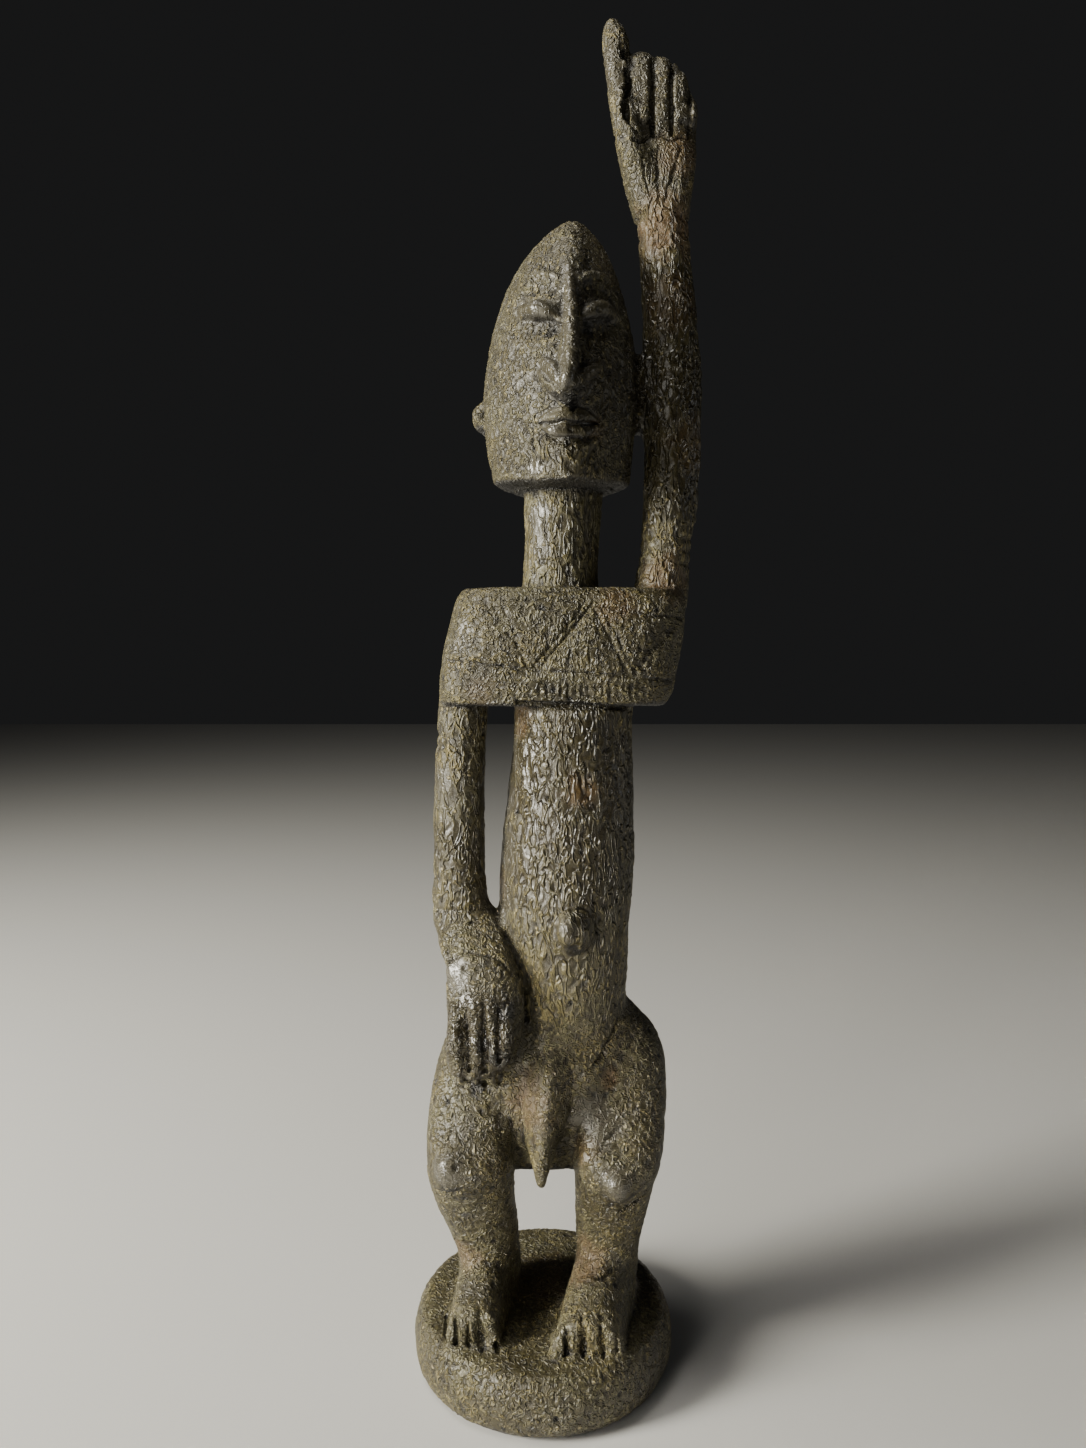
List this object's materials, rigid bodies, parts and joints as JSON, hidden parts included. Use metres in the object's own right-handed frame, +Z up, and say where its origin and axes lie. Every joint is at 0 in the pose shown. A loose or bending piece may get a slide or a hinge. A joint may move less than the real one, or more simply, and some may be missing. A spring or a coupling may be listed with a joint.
{
  "type": "carved ancestor figure",
  "caption": "standing carved hardwood figure with one arm raised, a pointed head and flexed legs, on a round base of the same block",
  "frame": {"origin": "centre of the round base's flat underside", "axes": "+Z up along the figure, the face looks towards -Y, the raised arm is on the +X side"},
  "size_m": [0.13, 0.1196, 0.6],
  "materials": {
    "wood": "old dark hardwood under a crusty grey-brown patina, worn to a dull gloss on the raised places"
  },
  "bodies": {
    "root": {"carved_figure": "wood"}
  },
  "joints": []
}
